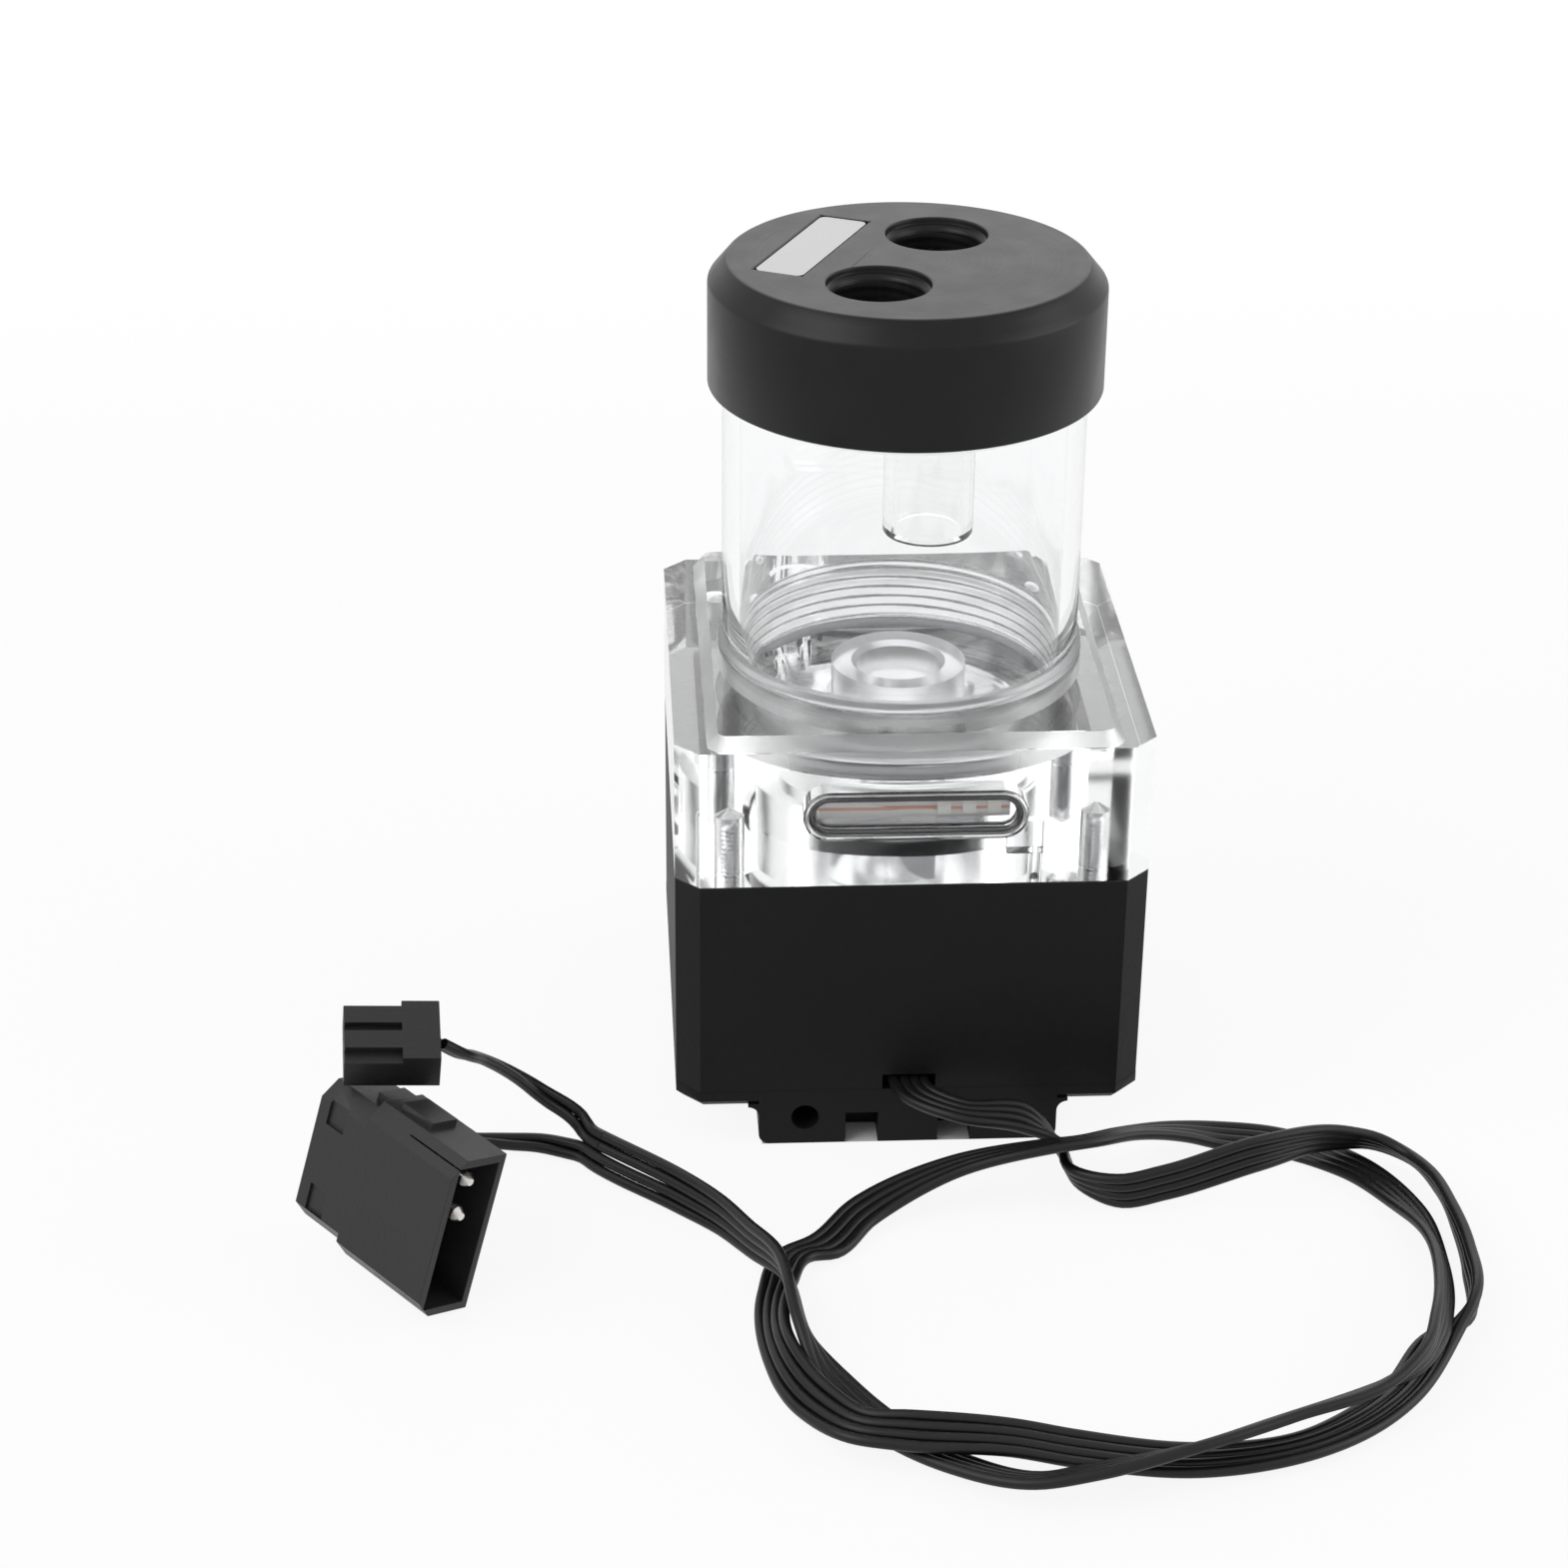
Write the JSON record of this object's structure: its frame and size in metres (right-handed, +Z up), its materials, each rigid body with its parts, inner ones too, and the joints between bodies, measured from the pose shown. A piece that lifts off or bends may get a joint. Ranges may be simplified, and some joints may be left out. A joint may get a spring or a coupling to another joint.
{
  "type": "coolant pump reservoir",
  "caption": "Square canned-motor coolant pump with a clear pump top, screw-on clear tube reservoir, two-port screw cap, down tube and a flat cable with fan and power plugs.",
  "frame": {"origin": "centre of the underside of the mounting foot, on the surface the pump stands on", "axes": "+Z up along the tube's axis, +X to the viewer's right with the cable slot and light window facing -Y, +Y towards the outlet side"},
  "size_m": [0.157, 0.1484, 0.1191],
  "materials": {
    "cover_black": "black anodised, satin",
    "housing_black": "black anodised, fine bead-blasted satin",
    "pad_grey": "soft matte",
    "board_green": "solder mask",
    "chips_black": "moulded epoxy",
    "header_ivory": "moulded nylon",
    "clamp_rubber": "matte",
    "screw_steel": "zinc plated",
    "core_steel": "stacked laminations",
    "coil_copper": "enamelled winding wire",
    "frame_ivory": "moulded nylon",
    "cup_black": "glass-filled plastic",
    "shaft_ceramic": "ground",
    "seal_black": "smooth",
    "magnet_grey": "sintered",
    "bushing_carbon": "machined carbon",
    "impeller_white": "moulded",
    "clear_block": "polished clear acrylic",
    "screw_black": "black oxide",
    "clear_rim": "polished clear acrylic",
    "clear_lens": "polished clear acrylic",
    "light_copper": "white strip with a copper track",
    "led_white": "moulded lens",
    "seal_clear": "clear silicone",
    "clear_tube": "extruded clear acrylic",
    "seal_black_cap": "smooth",
    "cap_black": "machined satin acetal",
    "plate_silver": "fine brushed",
    "clear_down_tube": "extruded clear acrylic",
    "cable_black": "satin insulation",
    "cable_black_fan": "satin insulation",
    "cable_black_power": "satin insulation",
    "fan_plug_black": "moulded nylon",
    "contact_gold": "stamped",
    "power_plug_black": "moulded nylon",
    "pin_tin": "rolled tinned brass"
  },
  "bodies": {
    "base": {"bottom_cover": "cover_black", "pump_housing": "housing_black", "thermal_pad": "pad_grey", "control_board": "board_green", "board_parts": "chips_black", "wire_header": "header_ivory", "cable_clamp": "clamp_rubber", "board_screws": "screw_steel", "stator_core": "core_steel", "stator_coils": "coil_copper", "stator_frame": "frame_ivory", "dry_cup": "cup_black", "shaft": "shaft_ceramic", "housing_oring": "seal_black", "pump_top": "clear_block", "corner_screws": "screw_black", "window_rim": "clear_rim", "window_lens": "clear_lens", "light_board": "light_copper", "light_leds": "led_white", "cable_trunk": "cable_black", "fan_branch": "cable_black_fan", "power_branch": "cable_black_power", "fan_plug": "fan_plug_black", "fan_contacts": "contact_gold", "power_plug": "power_plug_black", "power_pins": "pin_tin"},
    "rotor": {"rotor_magnet": "magnet_grey", "rotor_bushing": "bushing_carbon", "impeller": "impeller_white"},
    "tube_ring": {"tube_seal": "seal_clear"},
    "tube": {"reservoir_tube": "clear_tube"},
    "cap_ring": {"cap_seal": "seal_black_cap"},
    "cap_unit": {"cap": "cap_black", "cap_plate": "plate_silver", "down_tube": "clear_down_tube"}
  },
  "joints": [
    {"name": "rotor_spin", "type": "hinge", "parent": "base", "child": "rotor", "pos_m": [0, 0, 0.035], "axis": [0, 0, 1], "continuous": true},
    {"name": "tube_lift", "type": "slide", "parent": "base", "child": "tube_ring", "axis": [0, 0, 1], "range_m": [0, 0.006]},
    {"name": "tube_turn", "type": "hinge", "parent": "tube_ring", "child": "tube", "pos_m": [0, 0, 0.06], "axis": [0, 0, 1], "range_deg": [0, 1440]},
    {"name": "cap_lift", "type": "slide", "parent": "tube", "child": "cap_ring", "axis": [0, 0, 1], "range_m": [0, 0.006]},
    {"name": "cap_turn", "type": "hinge", "parent": "cap_ring", "child": "cap_unit", "pos_m": [0, 0, 0.11], "axis": [0, 0, 1], "range_deg": [0, 1440]}
  ],
  "couplings": [
    {"joint": "tube_turn", "follows": "tube_lift", "rad_per_m": 4188.8},
    {"joint": "cap_turn", "follows": "cap_lift", "rad_per_m": 4188.8}
  ]
}
